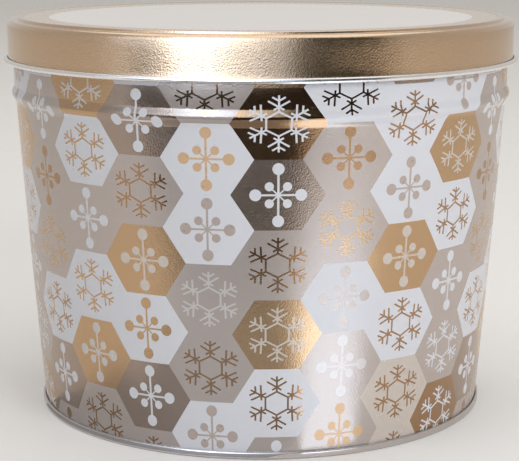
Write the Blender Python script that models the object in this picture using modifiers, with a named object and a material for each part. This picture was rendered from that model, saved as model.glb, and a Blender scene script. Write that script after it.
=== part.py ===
"""Round cookie tin: a tapered tinplate wall, a double seamed bottom and a slip-over lid.

Every piece but the sealing ring is pressed from one gauge of tinplate, so each is drawn as the
middle line of its sheet, turned around Z with a Screw modifier and given its gauge by Solidify.
Frame: origin at the middle of the foot, on the surface that the tin stands on, +Z up.
"""

import math

import bpy

MM = 0.001

# Overall sizes
TOTAL_HEIGHT = 193.5 * MM  # foot to the top of the lid's rim
LID_RADIUS = 125.0 * MM  # outside of the lid's skirt
FOOT_RADIUS = 112.1 * MM  # outside of the bottom seam
GAUGE = 0.28 * MM  # tinplate

# Lid, from its rim outwards and down
LID_DEPTH = 21.8 * MM  # top of the rim to the underside of the curl
PANEL_DROP = 0.6 * MM  # printed panel below the rim
RIM_STEP = 1.25 * MM  # rim above the ledge around it
RIM_WALL = 0.9 * MM  # width that the rim's outer wall takes
RIM_ROUND = 0.45 * MM
LEDGE_WIDTH = 1.6 * MM
RIM_WIDTH = 3.2 * MM
BAND_WIDTH = 12.2 * MM  # shallow slope between the rim and the panel
SHOULDER_RADIUS = 2.6 * MM
LID_CURL_RADIUS = 1.27 * MM
LID_CURL_SWEEP = 300.0  # degrees that the edge is rolled

# Wall
BODY_CURL_RADIUS = 1.05 * MM
BODY_CURL_SWEEP = 280.0
LID_SIDE_CLEARANCE = 0.6 * MM  # wall's curl to the inside of the lid's skirt
LID_SEAT_GAP = 0.3 * MM  # wall's curl to the underside of the lid's ledge
NECK_BELOW_LID = 10.7 * MM  # straight wall that shows under the closed lid
BEAD_HEIGHT = 9.1 * MM
BEAD_RISE = 1.6 * MM
BEAD_STEP_IN = 0.8 * MM  # the wall under the bead is narrower than the neck by this
WALL_CROWN = 0.4 * MM  # how far the tapered wall swells past a straight line

# Double seam and bottom end
SEAM_HEIGHT = 3.3 * MM
SEAM_GAP = 0.15 * MM  # between the five layers of sheet
SEAM_CORNER = 0.5 * MM
COMPOUND_WIDTH = 0.9 * MM
COMPOUND_THICKNESS = 0.3 * MM
PANEL_HEIGHT = 3.8 * MM  # bottom's flat ring above the standing surface
CENTRE_RAISE = 0.8 * MM
CENTRE_INSET = 18.0 * MM  # raised middle of the bottom, in from the wall
CENTRE_SLOPE = 2.5 * MM
CHUCK_CORNER = 1.2 * MM

# Facets
AROUND = 60
MERGE = 0.01 * MM


def clear_scene():
    for thing in list(bpy.data.objects):
        bpy.data.objects.remove(thing, do_unlink=True)


def arc(radius_at, height_at, radius, start, end, steps):
    """Points of an arc in the (radius, height) plane; angles in degrees, both ends included."""
    points = []
    for step in range(steps + 1):
        angle = math.radians(start + (end - start) * step / steps)
        points.append((radius_at + radius * math.cos(angle), height_at + radius * math.sin(angle)))
    return points


def material(name, colour, metallic, roughness):
    made = bpy.data.materials.new(name)
    made.use_nodes = True
    shader = made.node_tree.nodes["Principled BSDF"]
    shader.inputs["Base Color"].default_value = (*colour, 1.0)
    shader.inputs["Metallic"].default_value = metallic
    shader.inputs["Roughness"].default_value = roughness
    return made


def turned_sheet(name, points, collection, look):
    """A sheet whose middle line is turned a full circle and then given the gauge."""
    mesh = bpy.data.meshes.new(name)
    edges = [(index, index + 1) for index in range(len(points) - 1)]
    mesh.from_pydata([(radius, 0.0, height) for radius, height in points], edges, [])
    sheet = bpy.data.objects.new(name, mesh)
    collection.objects.link(sheet)
    screw = sheet.modifiers.new("turn", "SCREW")
    screw.axis = "Z"
    screw.angle = math.tau
    screw.steps = AROUND
    screw.render_steps = AROUND
    screw.use_merge_vertices = True
    screw.merge_threshold = MERGE
    screw.use_smooth_shade = True
    gauge = sheet.modifiers.new("gauge", "SOLIDIFY")
    gauge.thickness = GAUGE
    gauge.offset = 0.0
    gauge.use_even_offset = True
    gauge.use_quality_normals = True
    mesh.materials.append(look)
    return sheet


def turned_ring(name, outline, collection, look):
    """A solid ring: a closed outline turned a full circle."""
    mesh = bpy.data.meshes.new(name)
    count = len(outline)
    edges = [(index, (index + 1) % count) for index in range(count)]
    mesh.from_pydata([(radius, 0.0, height) for radius, height in outline], edges, [])
    ring = bpy.data.objects.new(name, mesh)
    collection.objects.link(ring)
    screw = ring.modifiers.new("turn", "SCREW")
    screw.axis = "Z"
    screw.angle = math.tau
    screw.steps = AROUND
    screw.render_steps = AROUND
    screw.use_merge_vertices = True
    screw.merge_threshold = MERGE
    mesh.materials.append(look)
    return ring


def lid_levels():
    """Heights and radii of the lid's middle line that the wall is fitted to."""
    half = GAUGE / 2
    rim_height = TOTAL_HEIGHT - half
    ledge_height = rim_height - RIM_STEP
    shoulder_bend = SHOULDER_RADIUS - half
    skirt = LID_RADIUS - half
    shoulder_at = skirt - shoulder_bend
    return rim_height, ledge_height, shoulder_bend, skirt, shoulder_at


def lid_line():
    """Middle of the panel, out over the rim and the ledge, down the skirt and into the curl."""
    rim_height, ledge_height, shoulder_bend, skirt, shoulder_at = lid_levels()
    panel_height = rim_height - PANEL_DROP
    wall_foot = shoulder_at - LEDGE_WIDTH
    wall_top = wall_foot - RIM_WALL
    rim_inside = wall_top - RIM_WIDTH
    panel_edge = rim_inside - BAND_WIDTH
    curl_bend = LID_CURL_RADIUS - GAUGE / 2
    curl_height = TOTAL_HEIGHT - LID_DEPTH + LID_CURL_RADIUS
    points = [(0.0, panel_height), (panel_edge, panel_height)]
    points.append((rim_inside, rim_height - PANEL_DROP / 2))
    points.append((wall_top - RIM_WIDTH / 2, rim_height))
    points += arc(wall_top - RIM_ROUND / 2, rim_height - RIM_ROUND, RIM_ROUND, 90, 20, 2)
    points += arc(wall_foot, ledge_height + RIM_ROUND, RIM_ROUND, 200, 270, 2)
    points += arc(shoulder_at, ledge_height - shoulder_bend, shoulder_bend, 90, 0, 5)
    points += arc(skirt + curl_bend, curl_height, curl_bend, 180, 180 + LID_CURL_SWEEP, 10)
    return points


def seam_lines():
    """Middle radii of the seam's five layers, outermost first, and the heights of its turns."""
    pitch = GAUGE + SEAM_GAP
    outside = FOOT_RADIUS - GAUGE / 2
    layers = [outside - pitch * layer for layer in range(5)]
    end_turn = SEAM_HEIGHT - GAUGE / 2 - pitch
    wall_turn = GAUGE + 2 * SEAM_GAP + COMPOUND_THICKNESS + GAUGE / 2 + pitch
    return layers, pitch, end_turn, wall_turn


def wall_line():
    """Curl inside the lid, neck, bead, tapered wall and the hook that the seam holds."""
    _, ledge_height, _, _, _ = lid_levels()
    layers, turn_radius, end_turn, wall_turn = seam_lines()
    curl_bend = BODY_CURL_RADIUS - GAUGE / 2
    neck = LID_RADIUS - GAUGE - LID_SIDE_CLEARANCE - BODY_CURL_RADIUS - curl_bend
    top = ledge_height - GAUGE / 2 - LID_SEAT_GAP
    bead_top = TOTAL_HEIGHT - LID_DEPTH - NECK_BELOW_LID
    under_bead = neck - BEAD_STEP_IN
    foot = layers[3]
    curl_start = 180 - BODY_CURL_SWEEP
    points = arc(neck + curl_bend, top - BODY_CURL_RADIUS, curl_bend, curl_start, 180, 8)
    bead_steps = 10
    for step in range(bead_steps + 1):
        share = step / bead_steps
        swell = BEAD_RISE * math.sin(math.pi * share) ** 2
        points.append((neck + (under_bead - neck) * share + swell, bead_top - BEAD_HEIGHT * share))
    taper_top = bead_top - BEAD_HEIGHT
    taper_steps = 4
    for step in range(1, taper_steps + 1):
        share = step / taper_steps
        swell = WALL_CROWN * 4 * share * (1 - share)
        radius = under_bead + (foot - under_bead) * share + swell
        points.append((radius, taper_top + (SEAM_HEIGHT - taper_top) * share))
    points += arc(layers[2], wall_turn, turn_radius, 180, 360, 4)
    points.append((layers[1], end_turn))
    return points


def bottom_line():
    """Raised middle, flat ring, chuck wall, standing face and the hook over the wall's hook."""
    layers, turn_radius, end_turn, wall_turn = seam_lines()
    chuck = layers[4]
    standing = GAUGE / 2
    flat = PANEL_HEIGHT
    raised_edge = chuck - CENTRE_INSET
    points = [(0.0, flat + CENTRE_RAISE), (raised_edge, flat + CENTRE_RAISE)]
    points.append((raised_edge + CENTRE_SLOPE, flat))
    points += arc(chuck - CHUCK_CORNER, flat - CHUCK_CORNER, CHUCK_CORNER, 90, 0, 3)
    points += arc(chuck + SEAM_CORNER, standing + SEAM_CORNER, SEAM_CORNER, 180, 270, 3)
    points += arc(layers[0] - SEAM_CORNER, standing + SEAM_CORNER, SEAM_CORNER, 270, 360, 3)
    points += arc(layers[1], end_turn, turn_radius, 0, 180, 4)
    points.append((layers[2], wall_turn))
    return points


def compound_outline():
    """Sealing compound under the wall's hook, with the seam's gap above and below it."""
    layers, _, _, _ = seam_lines()
    low = GAUGE + SEAM_GAP
    high = low + COMPOUND_THICKNESS
    inside = layers[2] - COMPOUND_WIDTH / 2
    outside = layers[2] + COMPOUND_WIDTH / 2
    return [(outside, high), (outside, low), (inside, low), (inside, high)]


def build():
    clear_scene()
    tin = bpy.data.collections.new("cookie_tin")
    bpy.context.scene.collection.children.link(tin)
    print_white = material("printed_tinplate", (0.72, 0.68, 0.63), 0.5, 0.32)
    gold = material("gold_lacquer", (0.62, 0.44, 0.27), 1.0, 0.3)
    bright = material("bright_tinplate", (0.78, 0.78, 0.79), 1.0, 0.22)
    rubber = material("sealing_compound", (0.35, 0.37, 0.4), 0.0, 0.8)

    turned_sheet("body_wall", wall_line(), tin, print_white)
    turned_sheet("bottom_end", bottom_line(), tin, bright)
    turned_ring("seam_compound", compound_outline(), tin, rubber)

    lift = bpy.data.objects.new("lid_lift", None)
    tin.objects.link(lift)
    lid = turned_sheet("lid", lid_line(), tin, gold)
    lid.parent = lift


build()
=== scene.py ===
"""Looks for the round cookie tin: a wall printed with hexagon tiles, a bare double seamed bottom
and a gold lacquered lid with a white panel. Profiles repeat the CAD part's, with finer steps."""

import math

import bpy
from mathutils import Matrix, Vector
from mathutils.geometry import delaunay_2d_cdt


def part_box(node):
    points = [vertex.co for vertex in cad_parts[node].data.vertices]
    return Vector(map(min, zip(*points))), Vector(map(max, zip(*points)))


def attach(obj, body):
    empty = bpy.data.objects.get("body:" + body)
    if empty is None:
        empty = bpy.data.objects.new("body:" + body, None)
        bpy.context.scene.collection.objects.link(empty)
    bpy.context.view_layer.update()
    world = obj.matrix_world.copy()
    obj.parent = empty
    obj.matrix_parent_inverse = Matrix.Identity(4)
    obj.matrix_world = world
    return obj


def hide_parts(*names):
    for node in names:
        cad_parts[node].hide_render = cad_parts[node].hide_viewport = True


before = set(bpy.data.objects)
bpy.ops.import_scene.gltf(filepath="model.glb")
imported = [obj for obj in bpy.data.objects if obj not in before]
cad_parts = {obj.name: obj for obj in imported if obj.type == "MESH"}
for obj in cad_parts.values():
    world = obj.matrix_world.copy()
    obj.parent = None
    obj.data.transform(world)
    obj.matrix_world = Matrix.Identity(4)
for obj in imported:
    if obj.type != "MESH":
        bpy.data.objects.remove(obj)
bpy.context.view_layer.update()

MM = 0.001
LID_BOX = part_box("lid")
BOTTOM_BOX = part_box("bottom_end")

# Sheet and lid, as in the CAD part
GAUGE = 0.28 * MM
HALF = GAUGE / 2
INSET = 0.01 * MM  # keeps the looks inside the CAD part's box
LID_DEPTH = 21.8 * MM
PANEL_DROP = 0.6 * MM
RIM_STEP = 1.25 * MM
RIM_WALL = 0.9 * MM
RIM_ROUND = 0.45 * MM
LEDGE_WIDTH = 1.6 * MM
RIM_WIDTH = 3.2 * MM
BAND_WIDTH = 12.2 * MM
SHOULDER_BEND = 2.6 * MM - HALF
LID_CURL_BEND = 1.27 * MM - HALF
LID_CURL_SWEEP = 300
TOTAL_HEIGHT = LID_BOX[1].z
LID_SKIRT = LID_BOX[1].x - HALF - 2 * LID_CURL_BEND - INSET
RIM_HEIGHT = TOTAL_HEIGHT - HALF - INSET
LEDGE_HEIGHT = RIM_HEIGHT - RIM_STEP

# Wall
BODY_CURL_RADIUS = 1.05 * MM
BODY_CURL_BEND = BODY_CURL_RADIUS - HALF
BODY_CURL_SWEEP = 280
LID_SIDE_CLEARANCE = 0.6 * MM
LID_SEAT_GAP = 0.3 * MM
NECK_BELOW_LID = 10.7 * MM
BEAD_HEIGHT = 9.1 * MM
BEAD_RISE = 1.6 * MM
BEAD_STEP_IN = 0.8 * MM
WALL_CROWN = 0.4 * MM
NECK = LID_SKIRT - HALF - LID_SIDE_CLEARANCE - BODY_CURL_RADIUS - BODY_CURL_BEND
WALL_TOP = LEDGE_HEIGHT - HALF - LID_SEAT_GAP
BEAD_TOP = TOTAL_HEIGHT - LID_DEPTH - NECK_BELOW_LID
TAPER_TOP = BEAD_TOP - BEAD_HEIGHT

# Double seam and bottom
SEAM_HEIGHT = 3.3 * MM
SEAM_GAP = 0.15 * MM
SEAM_CORNER = 0.5 * MM
COMPOUND_THICKNESS = 0.3 * MM
PANEL_HEIGHT = 3.8 * MM
CENTRE_RAISE = 0.8 * MM
CENTRE_INSET = 18.0 * MM
CENTRE_SLOPE = 2.5 * MM
CHUCK_CORNER = 1.2 * MM
LAYER_PITCH = GAUGE + SEAM_GAP
LAYERS = [BOTTOM_BOX[1].x - HALF - LAYER_PITCH * layer for layer in range(5)]
END_TURN = SEAM_HEIGHT - HALF - LAYER_PITCH
WALL_TURN = GAUGE + 2 * SEAM_GAP + COMPOUND_THICKNESS + HALF + LAYER_PITCH

# Print: hexagon tiles in columns, in column widths across and in rows down
COLUMNS = 24
FIRST_COLUMN = 3.65  # degrees from the front to the middle of column 0
FIRST_ROW = 23.8 * MM  # lid's top to the upper edge of column 0's first whole tile
ROW_PITCH = 31.1 * MM
ROW_GROWTH = 0.012  # share that the rows grow by, each over the one above
REGULAR = math.sqrt(3) / 2  # column width over row pitch, were the hexagons regular
HEXAGON = ((2 / 3, 0), (1 / 3, 0.5), (-1 / 3, 0.5), (-2 / 3, 0), (-1 / 3, -0.5), (1 / 3, -0.5))
LINE = 0.025  # width of the motifs' lines, in rows
PRINT_MARGIN = 1.2 * MM  # bare metal under the curl
SEAM_STRIPE = 1.3  # degrees of bare metal on each side of the weld
WELD_HALF = 0.26  # degrees
WELD_RISE = 0.12 * MM

# Camera and light
CAMERA_DISTANCE = 791.8 * MM
CAMERA_ABOVE_LID = 48.1 * MM
CAMERA_SIDE = -0.55 * MM
CAMERA_PITCH = 11.29
CAMERA_LENS = 109.4
DAYLIGHT = (0.86, 0.97, 1.12)  # colour of the lamps' light and of the glowing boards, the painted table highlights among them
ROOM_TINT = (1, 0.95, 0.89)  # colour of the light from all around
ROOM_LIGHT = (0.48, 0.56)  # its strength from the front and from behind the tin
ROOM_BRIGHT_SIDE = (0.35, 0.94, 0)
STUDIO_REACH = 6.0

# Steps of the meshes, around and along the profiles
AROUND = 144
PANEL_RINGS = 8
BAND_RINGS = 4
RIM_STEPS = 6
SHOULDER_STEPS = 12
SKIRT_STEPS = 4
LID_CURL_STEPS = 30
BODY_CURL_STEPS = 26
BEAD_STEPS = 24
TAPER_STEPS = 20
CENTRE_STEPS = 8
CORNER_STEPS = 6
TURN_STEPS = 12


# ---------------------------------------------------------------- profiles


def arc(radius_at, height_at, bend, start, end, steps):
    """Points of an arc in the (radius, height) plane; angles in degrees, both ends included."""
    points = []
    for step in range(steps + 1):
        angle = math.radians(start + (end - start) * step / steps)
        points.append((radius_at + bend * math.cos(angle), height_at + bend * math.sin(angle)))
    return points


def beside(line, distance):
    """The line that runs at a distance to the left of a line, even round its corners."""
    moved = []
    for index, (radius, height) in enumerate(line):
        before = line[max(index - 1, 0)]
        after = line[min(index + 1, len(line) - 1)]
        sides = []
        for start, end in ((before, (radius, height)), ((radius, height), after)):
            along = Vector((end[0] - start[0], end[1] - start[1]))
            if along.length > 0:
                sides.append(Vector((-along.y, along.x)).normalized())
        normal = sum(sides, Vector((0, 0))).normalized()
        reach = distance / max(normal.dot(sides[0]), 0.5)
        moved.append((radius + normal.x * reach, height + normal.y * reach))
    return moved


def wall_radius(height):
    """Middle of the wall's sheet between the neck and the seam."""
    if height >= BEAD_TOP:
        return NECK
    if height >= TAPER_TOP:
        share = (BEAD_TOP - height) / BEAD_HEIGHT
        return NECK - BEAD_STEP_IN * share + BEAD_RISE * math.sin(math.pi * share) ** 2
    share = (TAPER_TOP - height) / (TAPER_TOP - SEAM_HEIGHT)
    upper = NECK - BEAD_STEP_IN
    return upper + (LAYERS[3] - upper) * share + WALL_CROWN * 4 * share * (1 - share)


def wall_heights():
    """Levels of the printed wall, from the curl to the seam, close together on the bead."""
    top = WALL_TOP - BODY_CURL_RADIUS
    levels = [top, top - PRINT_MARGIN, top - 5 * MM, top - 11 * MM, top - 17 * MM, BEAD_TOP + 3 * MM]
    levels += [BEAD_TOP - BEAD_HEIGHT * step / BEAD_STEPS for step in range(BEAD_STEPS + 1)]
    drop = (TAPER_TOP - SEAM_HEIGHT) / TAPER_STEPS
    levels += [TAPER_TOP - drop * step for step in range(1, TAPER_STEPS + 1)]
    return levels


def lid_line():
    """Middle line of the lid's sheet, from the panel's middle out and down to the curl."""
    panel_height = RIM_HEIGHT - PANEL_DROP
    shoulder_at = LID_SKIRT - SHOULDER_BEND
    wall_foot = shoulder_at - LEDGE_WIDTH
    wall_top = wall_foot - RIM_WALL
    rim_inside = wall_top - RIM_WIDTH
    panel_edge = rim_inside - BAND_WIDTH
    line = [(panel_edge * ring / PANEL_RINGS, panel_height) for ring in range(PANEL_RINGS + 1)]
    for ring in range(1, BAND_RINGS + 1):
        share = ring / BAND_RINGS
        line.append((panel_edge + BAND_WIDTH * share, panel_height + PANEL_DROP / 2 * share**2))
    for step in range(1, RIM_STEPS + 1):
        share = step / RIM_STEPS
        rise = math.sin(share * math.pi / 2)
        line.append((rim_inside + RIM_WIDTH / 2 * share, RIM_HEIGHT - PANEL_DROP / 2 * (1 - rise)))
    line += arc(wall_top - RIM_ROUND / 2, RIM_HEIGHT - RIM_ROUND, RIM_ROUND, 90, 20, CORNER_STEPS)
    line += arc(wall_foot, LEDGE_HEIGHT + RIM_ROUND, RIM_ROUND, 200, 270, CORNER_STEPS)
    skirt_top = LEDGE_HEIGHT - SHOULDER_BEND
    line += arc(shoulder_at, skirt_top, SHOULDER_BEND, 90, 0, SHOULDER_STEPS)
    curl_height = TOTAL_HEIGHT - LID_DEPTH + LID_CURL_BEND + HALF
    for step in range(1, SKIRT_STEPS):
        line.append((LID_SKIRT, skirt_top + (curl_height - skirt_top) * step / SKIRT_STEPS))
    curl_at, curl_end = LID_SKIRT + LID_CURL_BEND, 180 + LID_CURL_SWEEP
    line += arc(curl_at, curl_height, LID_CURL_BEND, 180, curl_end, LID_CURL_STEPS)
    return line


def bottom_line():
    """Middle line of the bottom's sheet, from its raised middle to the hook in the seam."""
    chuck = LAYERS[4]
    raised_edge = chuck - CENTRE_INSET
    flat = PANEL_HEIGHT
    raised = flat + CENTRE_RAISE
    line = [(raised_edge * step / CENTRE_STEPS, raised) for step in range(CENTRE_STEPS + 1)]
    for step in range(1, CENTRE_STEPS + 1):
        share = step / CENTRE_STEPS
        ease = share * share * (3 - 2 * share)
        line.append((raised_edge + CENTRE_SLOPE * share, flat + CENTRE_RAISE * (1 - ease)))
    line += arc(chuck - CHUCK_CORNER, flat - CHUCK_CORNER, CHUCK_CORNER, 90, 0, CENTRE_STEPS)
    low_corner = HALF + INSET + SEAM_CORNER
    line += arc(chuck + SEAM_CORNER, low_corner, SEAM_CORNER, 180, 270, CORNER_STEPS)
    line += arc(LAYERS[0] - SEAM_CORNER, low_corner, SEAM_CORNER, 270, 360, CORNER_STEPS)
    line += arc(LAYERS[1], END_TURN, LAYER_PITCH, 0, 180, TURN_STEPS)
    line.append((LAYERS[2], WALL_TURN))
    return line


# ---------------------------------------------------------------- meshes


def to_piece(name, vertices, faces, looks, face_looks):
    """A mesh object whose faces take their material by number from looks."""
    mesh = bpy.data.meshes.new(name)
    mesh.from_pydata(vertices, [], faces)
    for look in looks:
        mesh.materials.append(look)
    mesh.polygons.foreach_set("material_index", face_looks)
    mesh.shade_smooth()
    mesh.update()
    piece = bpy.data.objects.new(name, mesh)
    bpy.context.scene.collection.objects.link(piece)
    return piece


def turned_faces(line, first, flip):
    """Vertices and faces of a line turned a full circle, numbered from first."""
    vertices = []
    for radius, height in line:
        for step in range(AROUND):
            angle = math.tau * step / AROUND
            vertices.append((radius * math.sin(angle), -radius * math.cos(angle), height))
    faces = []
    for ring in range(len(line) - 1):
        for step in range(AROUND):
            here = first + ring * AROUND
            after = (step + 1) % AROUND
            face = [here + step, here + AROUND + step, here + AROUND + after, here + after]
            faces.append(face[::-1] if flip else face)
    return vertices, faces


def turned_sheet(name, line, looks, left_look, right_look):
    """A sheet of the gauge around a line; each side's looks are given by the ring's number."""
    left = beside(line, HALF)
    right = beside(line, -HALF)
    loop = left + right[::-1]
    vertices, faces = turned_faces(loop, 0, False)
    rings = len(line) - 1
    numbers = [left_look(ring) for ring in range(rings)] + [right_look(rings - 1)]
    numbers += [right_look(ring) for ring in reversed(range(rings))]
    face_looks = [number for number in numbers for _ in range(AROUND)]
    piece = to_piece(name, vertices, faces, looks, face_looks)
    piece.data.validate()
    piece.data.set_sharp_from_angle(angle=math.radians(38))
    return piece


# ---------------------------------------------------------------- materials


COAT_ROUGH = 0.08
GLOSS_PATCHES = 0.35  # scale of the uneven gloss over the grain's
GLOSS_SPREAD = 0.15  # share that the roughness varies by


def noise(nodes, links, scale, detail, where):
    """A noise texture in the piece's own space."""
    texture = nodes.new("ShaderNodeTexNoise")
    texture.inputs["Scale"].default_value = scale
    texture.inputs["Detail"].default_value = detail
    links.new(where.outputs["Object"], texture.inputs["Vector"])
    return texture


def surface(name, colour, metallic, rough, peel, grain=900, coat=0):
    """A glossy surface with a fine orange peel and an uneven gloss."""
    look = bpy.data.materials.new(name)
    look.use_nodes = True
    nodes, links = look.node_tree.nodes, look.node_tree.links
    shader = nodes["Principled BSDF"]
    shader.inputs["Base Color"].default_value = (*colour, 1)
    shader.inputs["Metallic"].default_value = metallic
    shader.inputs["Coat Weight"].default_value = coat
    shader.inputs["Coat Roughness"].default_value = COAT_ROUGH
    where = nodes.new("ShaderNodeTexCoord")
    uneven = noise(nodes, links, grain * GLOSS_PATCHES, 4, where)
    spread = nodes.new("ShaderNodeMapRange")
    spread.inputs["From Min"].default_value = 0.3
    spread.inputs["From Max"].default_value = 0.7
    spread.inputs["To Min"].default_value = rough * (1 - GLOSS_SPREAD)
    spread.inputs["To Max"].default_value = rough * (1 + GLOSS_SPREAD)
    links.new(uneven.outputs["Fac"], spread.inputs["Value"])
    links.new(spread.outputs["Result"], shader.inputs["Roughness"])
    fine = noise(nodes, links, grain, 2, where)
    bump = nodes.new("ShaderNodeBump")
    bump.inputs["Strength"].default_value = 1.0
    bump.inputs["Distance"].default_value = peel
    links.new(fine.outputs["Fac"], bump.inputs["Height"])
    links.new(bump.outputs["Normal"], shader.inputs["Normal"])
    return look


PEEL = 0.075 * MM  # height of the orange peel on most surfaces
# Inks by letter: colour, how metallic, roughness, and how strong and fine the peel is
INKS = {
    "W": surface("ink_white", (0.645, 0.665, 0.725), 0.0, 0.32, PEEL * 0.1, coat=0.15),
    "C": surface("ink_champagne", (0.49, 0.44, 0.42), 0.45, 0.22, PEEL * 1.3, grain=1400),
    "L": surface("ink_light_champagne", (0.60, 0.55, 0.51), 0.3, 0.24, PEEL, grain=1100),
    "T": surface("ink_taupe", (0.38, 0.305, 0.26), 0.85, 0.19, PEEL * 1.4, grain=1400, coat=0.4),
    "G": surface("ink_gold", (0.53, 0.365, 0.22), 0.95, 0.20, PEEL * 1.4, grain=1400, coat=0.4),
    "B": surface("ink_bronze", (0.40, 0.255, 0.15), 1.0, 0.15, PEEL * 0.7, grain=1400, coat=0.4),
    "S": surface("ink_silver", (0.60, 0.58, 0.58), 0.3, 0.24, PEEL, grain=1100),
    "O": surface("ink_opaque_gold", (0.63, 0.43, 0.26), 0.15, 0.30, PEEL * 0.3, grain=1100),
    "A": surface("ink_opaque_taupe", (0.46, 0.39, 0.36), 0.15, 0.30, PEEL * 0.3, grain=1100),
}
BARE = surface("bare_tinplate", (0.92, 0.92, 0.94), 1.0, 0.27, PEEL * 0.1, grain=400)
FOOT_METAL = surface("rolled_tinplate", (0.62, 0.60, 0.61), 1.0, 0.20, PEEL * 0.1, grain=400)
GOLD = surface("lacquer_gold", (0.67, 0.485, 0.325), 1.0, 0.22, PEEL * 1.15, grain=1300, coat=1)
PALE_GOLD = surface("lacquer_pale_gold", (0.70, 0.635, 0.575), 0.35, 0.30, PEEL * 0.3)
PANEL_WHITE = surface("enamel_panel", (0.84, 0.825, 0.82), 0.0, 0.35, PEEL * 0.1, coat=0.3)
WELD = surface("weld_line", (0.34, 0.35, 0.38), 1.0, 0.45, PEEL * 1.2, grain=1400)
COMPOUND = surface("cured_compound", (0.30, 0.31, 0.33), 0.0, 0.75, PEEL * 1.2, grain=700)


# ---------------------------------------------------------------- print

# Each column's tiles from the lid down, one row above the first whole one included:
# the tile's ink, the motif's ink, and * for a snowflake or o for a star of dots.
LAYOUT = (
    ("GB*", "BW*", "TWo", "CB*", "GL*", "WB*", "CWo"),
    ("TWo", "WB*", "CBo", "CG*", "WCo", "CSo", "COo"),
    ("TWo", "WB*", "WAo", "GLo", "WB*", "LB*", "LB*"),
    ("CB*", "WAo", "GL*", "WB*", "CWo", "CW*", "BW*"),
    ("WGo", "CWo", "CBo", "CG*", "WB*", "TWo", "CBo"),
    ("TWo", "GS*", "WG*", "CWo", "WG*", "GSo", "CB*"),
    ("WB*", "TWo", "CB*", "GLo", "WGo", "TWo", "CB*"),
    ("GLo", "CB*", "WOo", "WAo", "CS*", "CB*", "WAo"),
)


def dot(across, up, radius, count):
    """Outline of a round spot; across and the result are in columns, up and the radius in rows."""
    points = []
    for step in range(count):
        angle = math.tau * step / count
        points.append((across + radius * math.cos(angle), up + radius * math.sin(angle)))
    return points


def stroke(start, end, width):
    """Outline of a line with square ends, in rows both ways."""
    start, end = Vector(start), Vector(end)
    along = (end - start).normalized() * width / 2
    side = Vector((-along.y, along.x))
    corners = (start - along - side, end + along - side, end + along + side, start - along + side)
    return [(corner.x / REGULAR, corner.y) for corner in corners]


def snowflake():
    """Six arms on a hexagonal ring, with two pairs of twigs on each arm."""
    ring, tip = 0.172, 0.385
    crossing, fork, lean = 0.236, 0.322, math.radians(57)
    outlines = []
    for arm in range(6):
        turn = math.radians(60 * arm + 30)

        def at(distance, bend=0.0, reach=0.0):
            x = distance * math.cos(turn) + reach * math.cos(turn + bend)
            y = distance * math.sin(turn) + reach * math.sin(turn + bend)
            return x, y

        following = math.radians(60 * arm + 90)
        corner = (ring * math.cos(following), ring * math.sin(following))
        outlines.append(stroke(at(ring), corner, LINE))
        outlines.append(stroke(at(ring), at(tip), LINE))
        for bend in (lean, -lean):
            outlines.append(stroke(at(crossing, bend, -0.06), at(crossing, bend, 0.14), LINE))
            outlines.append(stroke(at(fork), at(fork, bend, 0.08), LINE))
    return outlines


def dot_star():
    """Four long arms that end in dots and four short diagonal ones that end in smaller dots."""
    outlines = []
    for across, up in ((0.276, 0), (0, 0.369)):
        outlines.append(stroke((-across, -up), (across, up), LINE * 1.1))
        for sign in (-1, 1):
            outlines.append(dot(sign * across / REGULAR, sign * up, 0.084, 20))
    for across, up in ((0.109, 0.12), (0.109, -0.12)):
        outlines.append(stroke((-across, -up), (across, up), LINE * 0.75))
        for sign in (-1, 1):
            outlines.append(dot(sign * across / REGULAR, sign * up, 0.064, 16))
    return outlines


def row_height(row):
    """Height of a row line; rows grow steadily on their way down."""
    drop = ROW_PITCH * row * (1 + ROW_GROWTH * (row - 1) / 2)
    return TOTAL_HEIGHT - FIRST_ROW - drop


def wall_point(angle, height):
    """Point on the wall's printed face, with the weld standing proud at the back."""
    radius = wall_radius(height) + HALF
    if abs(abs(angle) - 180) <= WELD_HALF:
        radius += WELD_RISE
    turn = math.radians(angle)
    return radius * math.sin(turn), -radius * math.cos(turn), height


def wall_normal(angle, height):
    """Direction that the smooth wall faces, from its slope over a short step."""
    step = 0.05 * MM
    slope = (wall_radius(height + step) - wall_radius(height - step)) / (2 * step)
    turn = math.radians(angle)
    return Vector((math.sin(turn), -math.cos(turn), -slope)).normalized()


def tile_outlines(column, row, tile, motifs):
    """Outlines of a tile and of its motif, in degrees and millimetres, with their inks."""
    fill, ink, motif = tile
    width = 360 / COLUMNS
    outlines = []
    for shape, shape_ink in [(HEXAGON, fill)] + [(shape, ink) for shape in motifs[motif]]:
        points = []
        for across, up in shape:
            angle = FIRST_COLUMN + (column + across) * width
            points.append(Vector((angle, row_height(row - up) / MM)))
        outlines.append((points, shape_ink))
    return outlines


def cut_tile(outlines, levels, across):
    """A tile cut by its motif, by the wall's levels and by the facets' angles, as flat faces."""
    points, loops = [], []
    for shape, _ in outlines:
        loops.append(list(range(len(points), len(points) + len(shape))))
        points += shape
    left, right = min(point.x for point in points), max(point.x for point in points)
    low, high = min(point.y for point in points), max(point.y for point in points)
    edges = []
    for level in levels:
        if low < level < high:
            edges.append((len(points), len(points) + 1))
            points += [Vector((left, level)), Vector((right, level))]
    for angle in across:
        if left < angle < right:
            edges.append((len(points), len(points) + 1))
            points += [Vector((angle, low)), Vector((angle, high))]
    found = delaunay_2d_cdt(points, edges, loops, 0, 1e-5, True)
    flat, faces, origins = found[0], found[2], found[5]
    inks = [ink for _, ink in outlines]
    cut = [(face, inks[max(origin)]) for face, origin in zip(faces, origins) if origin]
    return flat, cut


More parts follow.
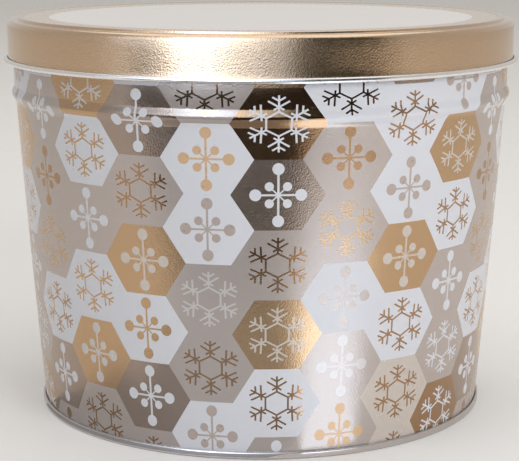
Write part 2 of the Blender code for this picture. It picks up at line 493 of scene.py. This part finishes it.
def printed_wall():
    """Flat points and faces of the whole print, with a material number for each face."""
    motifs = {"*": snowflake(), "o": dot_star()}
    levels = [height / MM for height in wall_heights()]
    edge = 180 - SEAM_STRIPE
    across = [FIRST_COLUMN - 180 + 360 * step / AROUND for step in range(AROUND + 1)] + [-edge, edge]
    order = list(INKS)
    points, faces, face_looks = [], [], []
    for column in range(-COLUMNS // 2 - 1, COLUMNS // 2 + 2):
        for number, tile in enumerate(LAYOUT[column % len(LAYOUT)]):
            row = number - 1 + (0.5 if column % 2 == 0 else 0)
            flat, cut = cut_tile(tile_outlines(column, row, tile, motifs), levels, across)
            first = len(points)
            points += [(point.x, point.y * MM) for point in flat]
            for face, ink in cut:
                angle = sum(flat[index].x for index in face) / len(face)
                height = sum(flat[index].y for index in face) / len(face)
                if abs(angle) < edge and levels[-1] < height < levels[0]:
                    faces.append([first + index for index in face])
                    face_looks.append(len(order) if height > levels[1] else order.index(ink))
    stripe = [180 - SEAM_STRIPE, 180 - WELD_HALF * 1.2, 180 - WELD_HALF, 180]
    stripe += [360 - angle for angle in stripe[-2::-1]]
    for left, right in zip(stripe, stripe[1:]):
        on_weld = abs((left + right) / 2 - 180) < WELD_HALF
        for high, low in zip(levels, levels[1:]):
            first = len(points)
            points += [(left, low * MM), (right, low * MM), (right, high * MM), (left, high * MM)]
            faces.append([first, first + 1, first + 2, first + 3])
            face_looks.append(len(order) + (1 if on_weld else 0))
    return points, faces, face_looks


def make_wall():
    """Printed face, curl, inner face and hook of the wall, as one piece."""
    flat, kept, face_looks = printed_wall()
    used = sorted({index for face in kept for index in face})
    number = {index: place for place, index in enumerate(used)}
    vertices = [wall_point(*flat[index]) for index in used]
    normals = [wall_normal(*flat[index]) for index in used]
    faces = [[number[index] for index in face] for face in kept]

    bare = len(INKS)
    curl_start = 180 - BODY_CURL_SWEEP
    top = WALL_TOP - BODY_CURL_RADIUS
    middle = arc(NECK + BODY_CURL_BEND, top, BODY_CURL_BEND, curl_start, 180, BODY_CURL_STEPS)
    middle += [(wall_radius(height), height) for height in wall_heights()[1:]]
    middle += arc(LAYERS[2], WALL_TURN, LAYER_PITCH, 180, 360, TURN_STEPS)
    middle.append((LAYERS[1], END_TURN))
    inner, outer = beside(middle, -HALF), beside(middle, HALF)
    print_end = BODY_CURL_STEPS + len(wall_heights()) - 1
    outer_curl, hook = outer[: BODY_CURL_STEPS + 1], outer[print_end:]
    for line, flip in ((inner, True), (outer_curl, False), (hook, False)):
        new_vertices, new_faces = turned_faces(line, len(vertices), flip)
        vertices += new_vertices
        faces += new_faces
        face_looks += [bare] * len(new_faces)
    return vertices, faces, face_looks, normals


def add_wall():
    vertices, faces, face_looks, normals = make_wall()
    wall = to_piece("tin_wall", vertices, faces, [*INKS.values(), BARE, WELD], face_looks)
    wall.data.set_sharp_from_angle(angle=math.radians(50))
    smooth = [vertex.normal.copy() for vertex in wall.data.vertices]
    smooth[: len(normals)] = normals
    wall.data.normals_split_custom_set_from_vertices(smooth)
    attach(wall, "tin")
    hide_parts("body_wall")


def add_bottom():
    plate = turned_sheet("bottom_plate", bottom_line(), [FOOT_METAL], lambda ring: 0, lambda ring: 0)
    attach(plate, "tin")
    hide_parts("bottom_end")


def add_lid():
    def printed_side(ring):
        if ring < PANEL_RINGS:
            return 1
        return 2 if ring < PANEL_RINGS + BAND_RINGS else 0

    looks = [GOLD, PANEL_WHITE, PALE_GOLD, BARE]
    cover = turned_sheet("gold_lid", lid_line(), looks, printed_side, lambda ring: 3)
    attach(cover, "lid")
    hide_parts("lid")


def dress_compound():
    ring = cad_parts["seam_compound"].data
    ring.materials.clear()
    ring.materials.append(COMPOUND)


# ---------------------------------------------------------------- studio


def board(name, corners, colour, glow=0.0, faces=None):
    """A board of the studio that shows only in reflections and in the light it gives."""
    mesh = bpy.data.meshes.new(name)
    mesh.from_pydata(corners, [], faces or [list(range(len(corners)))])
    look = surface(name + "_surface", colour, 0.0, 0.7, PEEL)
    shader = look.node_tree.nodes["Principled BSDF"]
    shader.inputs["Emission Color"].default_value = (*DAYLIGHT, 1)
    shader.inputs["Emission Strength"].default_value = glow
    mesh.materials.append(look)
    made = bpy.data.objects.new(name, mesh)
    bpy.context.scene.collection.objects.link(made)
    made.visible_camera = False
    made.visible_shadow = False
    made.visible_diffuse = False
    return made


def softbox(name, location, target, size, radiance):
    """A rectangular light that faces a target."""
    light = bpy.data.lights.new(name, "AREA")
    light.shape = "RECTANGLE"
    light.size, light.size_y = size
    light.energy = radiance * math.pi * size[0] * size[1]
    lamp = bpy.data.objects.new(name, light)
    lamp.location = location
    lamp.rotation_euler = (Vector(target) - Vector(location)).to_track_quat("-Z", "Y").to_euler()
    lamp.visible_camera = False
    bpy.context.scene.collection.objects.link(lamp)
    return lamp


def lying(points, height):
    """Corners of a board that lies at a height."""
    return [(x, y, height) for x, y in points]


def upright(left, right, low, high, back):
    """Corners of a board that stands across the view."""
    return [(left, back, low), (right, back, low), (right, back, high), (left, back, high)]


def curved(radius, left, right, low, high):
    """Corners and faces of an upright strip bent around the tin; left and right in degrees."""
    corners, steps = [], 12
    for step in range(steps + 1):
        turn = math.radians(left + (right - left) * step / steps)
        x, y = radius * math.sin(turn), -radius * math.cos(turn)
        corners += [(x, y, low), (x, y, high)]
    faces = [(2 * step, 2 * step + 2, 2 * step + 3, 2 * step + 1) for step in range(steps)]
    return corners, faces


def add_boards():
    """What the tin mirrors: a table that ends in front of it, a darkened room, and glowing patches on
    the table that are a painted highlight, the reflection of a long light in it.

    Corners are in metres, and the boards on the table lie a skin apart, one over the other.
    """
    far, skin = STUDIO_REACH, 0.5 * MM
    table_edge = [(-3.0, -1.8), (-0.55, -0.47), (-0.19, -0.31), (0.06, -0.36), (0.12, -0.43)]
    table_edge += [(0.2, -0.62), (0.6, -0.85), (far, -1.1)]
    table = lying([(far, far), (-far, far), (-far, -1.8)] + table_edge, skin)
    board("table_glow", table, (0.88, 0.82, 0.75))
    near = [(0.0, -0.11), (0.024, -0.125), (0.05, -0.27), (0.06, -0.36), (-0.18, -0.32)]
    near += [(-0.15, -0.19), (-0.115, -0.13), (-0.15, -0.11), (-0.125, -0.035), (-0.11, -0.03)]
    board("near_shade", lying(near, 2 * skin), (0.42, 0.41, 0.40))
    # painted highlight: glowing patches lying on the table stand for the reflection of a long light in
    # it, near and far
    near_painted_highlight = [(0.02, -0.114), (0.05, -0.108), (0.085, -0.139), (0.15, -0.19)]
    near_painted_highlight += [(0.22, -0.25), (0.085, -0.3)]
    board("painted_table_highlight_near", lying(near_painted_highlight, 3 * skin), (0.9, 0.9, 0.9), glow=1.9)
    far_painted_highlight = [(0.085, -0.3), (0.22, -0.25), (0.4, -0.386), (0.19, -0.52)]
    board("painted_table_highlight_far", lying(far_painted_highlight, 3 * skin), (0.9, 0.9, 0.9), glow=0.8)
    strip, strip_faces = curved(0.16, -35, 31, 0.151, 0.1685)
    board("neck_shade", strip, (0.03, 0.025, 0.02), faces=strip_faces)
    split, back, ceiling = 0.048, -1.2, 2.2
    board("dark_room_low", upright(-2.6, 2.2, -2.0, split, back), (0.07, 0.06, 0.05))
    board("dark_room_right", upright(0.3, 1.68, split, ceiling, back), (0.025, 0.032, 0.02))
    room = [(-2.6, -1.13, 1.1), (-1.13, -0.9, 1.7), (-0.4, -0.22, 2.7), (-0.22, 0.0, 1.9)]
    room += [(0.0, 0.2, 1.15), (0.2, 0.3, 0.6)]
    for number, (left, right, glow) in enumerate(room):
        part = upright(left, right, split, ceiling, back)
        board(f"bright_room_{number}", part, (0.1, 0.1, 0.1), glow=glow)


def add_studio():
    mesh = bpy.data.meshes.new("floor")
    far = STUDIO_REACH
    mesh.from_pydata(lying([(-far, -far), (far, -far), (far, far), (-far, far)], 0), [], [(0, 1, 2, 3)])
    mesh.materials.append(surface("floor_paper", (0.92, 0.92, 0.92), 0.0, 0.7, PEEL))
    floor = bpy.data.objects.new("floor", mesh)
    bpy.context.scene.collection.objects.link(floor)
    floor.visible_glossy = False
    add_boards()

    middle = (0, 0, TOTAL_HEIGHT / 2)
    streak = softbox("left_softbox", (-0.65, -1.19, 1.05), (-0.65, 0, 1.05), (0.5, 2.0), 4.6)
    streak.visible_diffuse = False
    streak.data.color = DAYLIGHT
    fill = softbox("right_fill", (0.75, -1.15, 0.7), middle, (0.6, 0.6), 6.3)
    fill.visible_glossy = False
    softbox("top_softbox", (0, 0.2, 2.0), middle, (2.5, 2.5), 0.85)
    world = bpy.data.worlds.new("studio")
    world.use_nodes = True
    nodes, links = world.node_tree.nodes, world.node_tree.links
    where = nodes.new("ShaderNodeTexCoord")
    towards = nodes.new("ShaderNodeVectorMath")
    towards.operation = "DOT_PRODUCT"
    towards.inputs[1].default_value = ROOM_BRIGHT_SIDE
    fade = nodes.new("ShaderNodeMapRange")
    fade.inputs["From Min"].default_value = -0.2
    fade.inputs["From Max"].default_value = 0.8
    fade.inputs["To Min"].default_value, fade.inputs["To Max"].default_value = ROOM_LIGHT
    links.new(where.outputs["Generated"], towards.inputs[0])
    links.new(towards.outputs["Value"], fade.inputs["Value"])
    links.new(fade.outputs["Result"], nodes["Background"].inputs["Strength"])
    nodes["Background"].inputs["Color"].default_value = (*ROOM_TINT, 1)
    bpy.context.scene.world = world
    bpy.context.scene.view_settings.view_transform = "Standard"


def add_camera():
    data = bpy.data.cameras.new("camera")
    data.lens = CAMERA_LENS
    data.sensor_width = 36
    data.clip_end = 50
    camera = bpy.data.objects.new("camera", data)
    camera.location = (CAMERA_SIDE, -CAMERA_DISTANCE, TOTAL_HEIGHT + CAMERA_ABOVE_LID)
    camera.rotation_euler = (math.radians(90 - CAMERA_PITCH), 0, 0)
    bpy.context.scene.collection.objects.link(camera)
    bpy.context.scene.camera = camera


add_camera()
add_wall()
add_bottom()
add_lid()
dress_compound()
add_studio()

bpy.context.view_layer.update()
